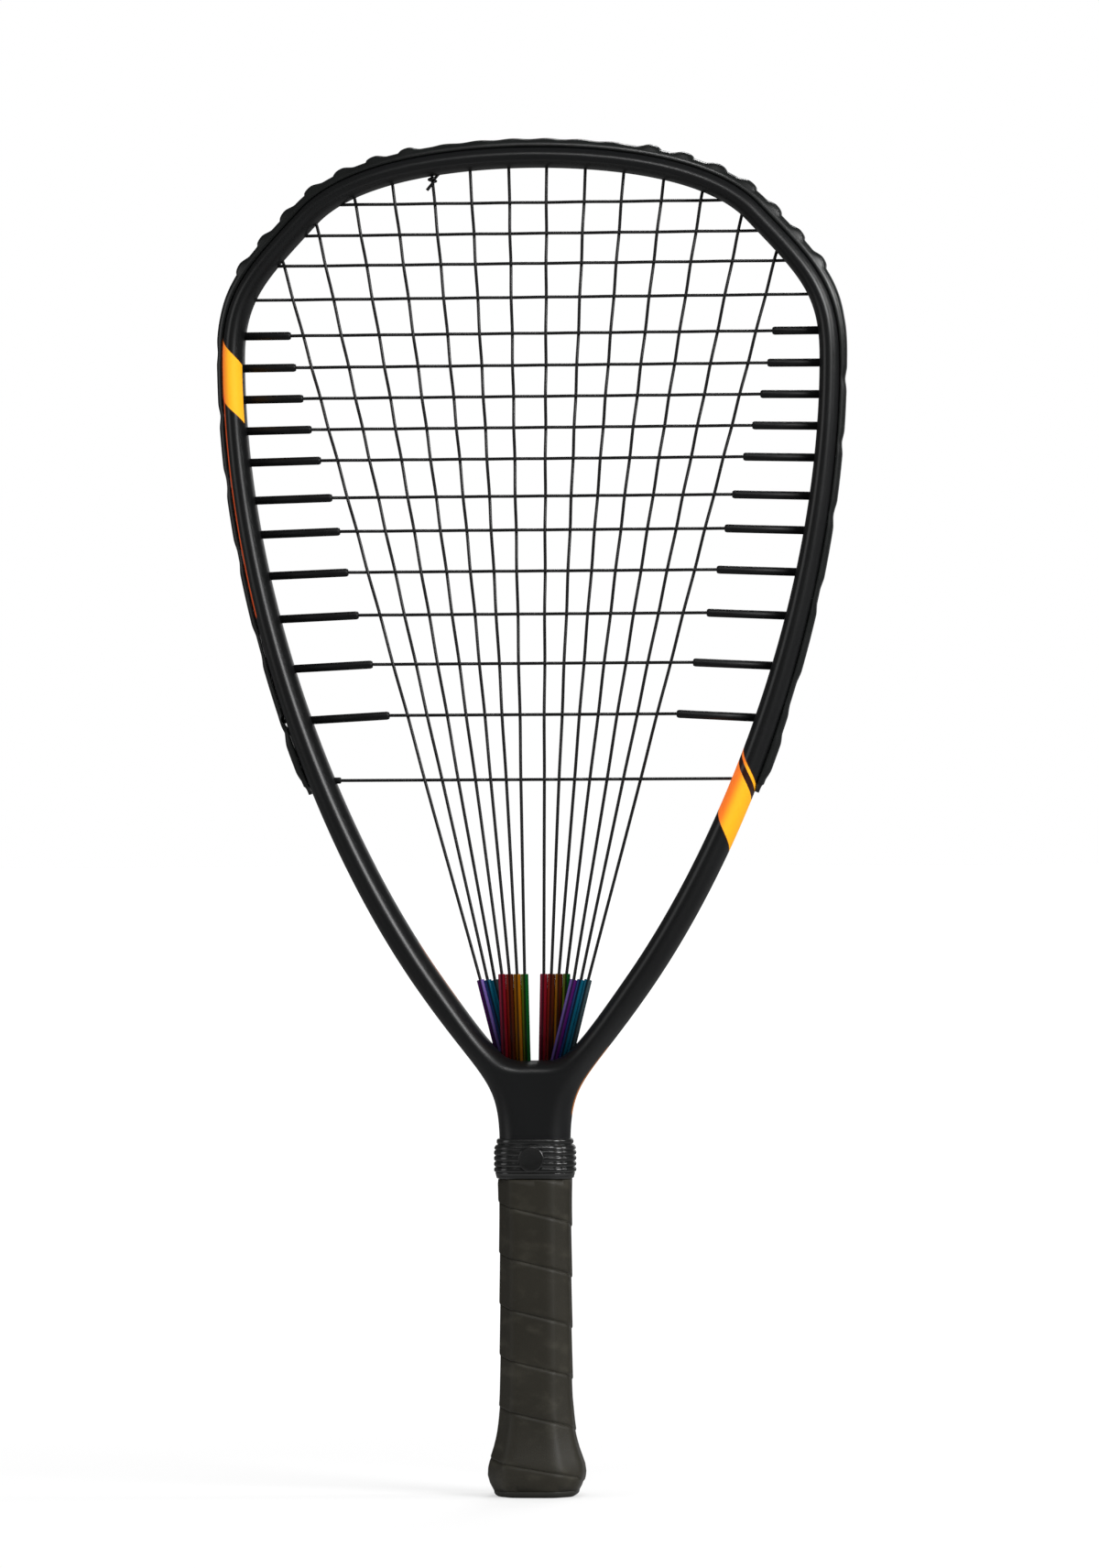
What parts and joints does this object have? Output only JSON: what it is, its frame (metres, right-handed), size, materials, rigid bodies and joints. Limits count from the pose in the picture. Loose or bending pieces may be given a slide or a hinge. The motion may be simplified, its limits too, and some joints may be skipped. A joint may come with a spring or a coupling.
{
  "type": "racquetball racket",
  "caption": "Racquetball racket with a teardrop hoop, fanned strings through coloured throat tubes, side string tubes, a bumper guard and a spiral rubber grip.",
  "frame": {"origin": "middle of the flat butt end of the handle, on the axis of the handle", "axes": "+Z along the racket from the butt to the top of the head, X across the face, -Y towards the front of the face"},
  "size_m": [0.262, 0.0352, 0.5587],
  "materials": {
    "frame": "satin black lacquer over carbon fibre composite, with orange and yellow stripes",
    "guard": "smooth moulded nylon, satin",
    "string": "black nylon string",
    "side_tube": "soft black plastic tube",
    "grommet": "black nylon sleeve",
    "throat_tube_01": "half clear coloured soft plastic tube",
    "throat_tube_02": "half clear coloured soft plastic tube",
    "throat_tube_03": "half clear coloured soft plastic tube",
    "throat_tube_04": "half clear coloured soft plastic tube",
    "throat_tube_05": "half clear coloured soft plastic tube",
    "throat_tube_06": "half clear coloured soft plastic tube",
    "throat_tube_07": "half clear coloured soft plastic tube",
    "throat_tube_08": "half clear coloured soft plastic tube",
    "throat_tube_09": "half clear coloured soft plastic tube",
    "throat_tube_10": "half clear coloured soft plastic tube",
    "throat_tube_11": "half clear coloured soft plastic tube",
    "throat_tube_12": "half clear coloured soft plastic tube",
    "throat_tube_13": "half clear coloured soft plastic tube",
    "throat_tube_14": "half clear coloured soft plastic tube",
    "collar": "moulded rubber, matt",
    "grip": "dark olive grey rubber wrap, matt with a slight sheen",
    "cap": "moulded plastic, matt"
  },
  "bodies": {
    "root": {"frame": "frame", "bumper_guard": "guard", "main_string": "string", "cross_string": "string", "side_tube_left_01": "side_tube", "side_tube_left_02": "side_tube", "side_tube_left_03": "side_tube", "side_tube_left_04": "side_tube", "side_tube_left_05": "side_tube", "side_tube_left_06": "side_tube", "side_tube_left_07": "side_tube", "side_tube_left_08": "side_tube", "side_tube_left_09": "side_tube", "side_tube_left_10": "side_tube", "side_tube_left_11": "side_tube", "side_tube_right_01": "side_tube", "side_tube_right_02": "side_tube", "side_tube_right_03": "side_tube", "side_tube_right_04": "side_tube", "side_tube_right_05": "side_tube", "side_tube_right_06": "side_tube", "side_tube_right_07": "side_tube", "side_tube_right_08": "side_tube", "side_tube_right_09": "side_tube", "side_tube_right_10": "side_tube", "side_tube_right_11": "side_tube", "throat_tube_01": "throat_tube_01", "throat_tube_02": "throat_tube_02", "throat_tube_03": "throat_tube_03", "throat_tube_04": "throat_tube_04", "throat_tube_05": "throat_tube_05", "throat_tube_06": "throat_tube_06", "throat_tube_07": "throat_tube_07", "throat_tube_08": "throat_tube_08", "throat_tube_09": "throat_tube_09", "throat_tube_10": "throat_tube_10", "throat_tube_11": "throat_tube_11", "throat_tube_12": "throat_tube_12", "throat_tube_13": "throat_tube_13", "throat_tube_14": "throat_tube_14", "end_grommet": "grommet", "grip_collar": "collar", "grip_wrap": "grip", "butt_cap": "cap"}
  },
  "joints": []
}
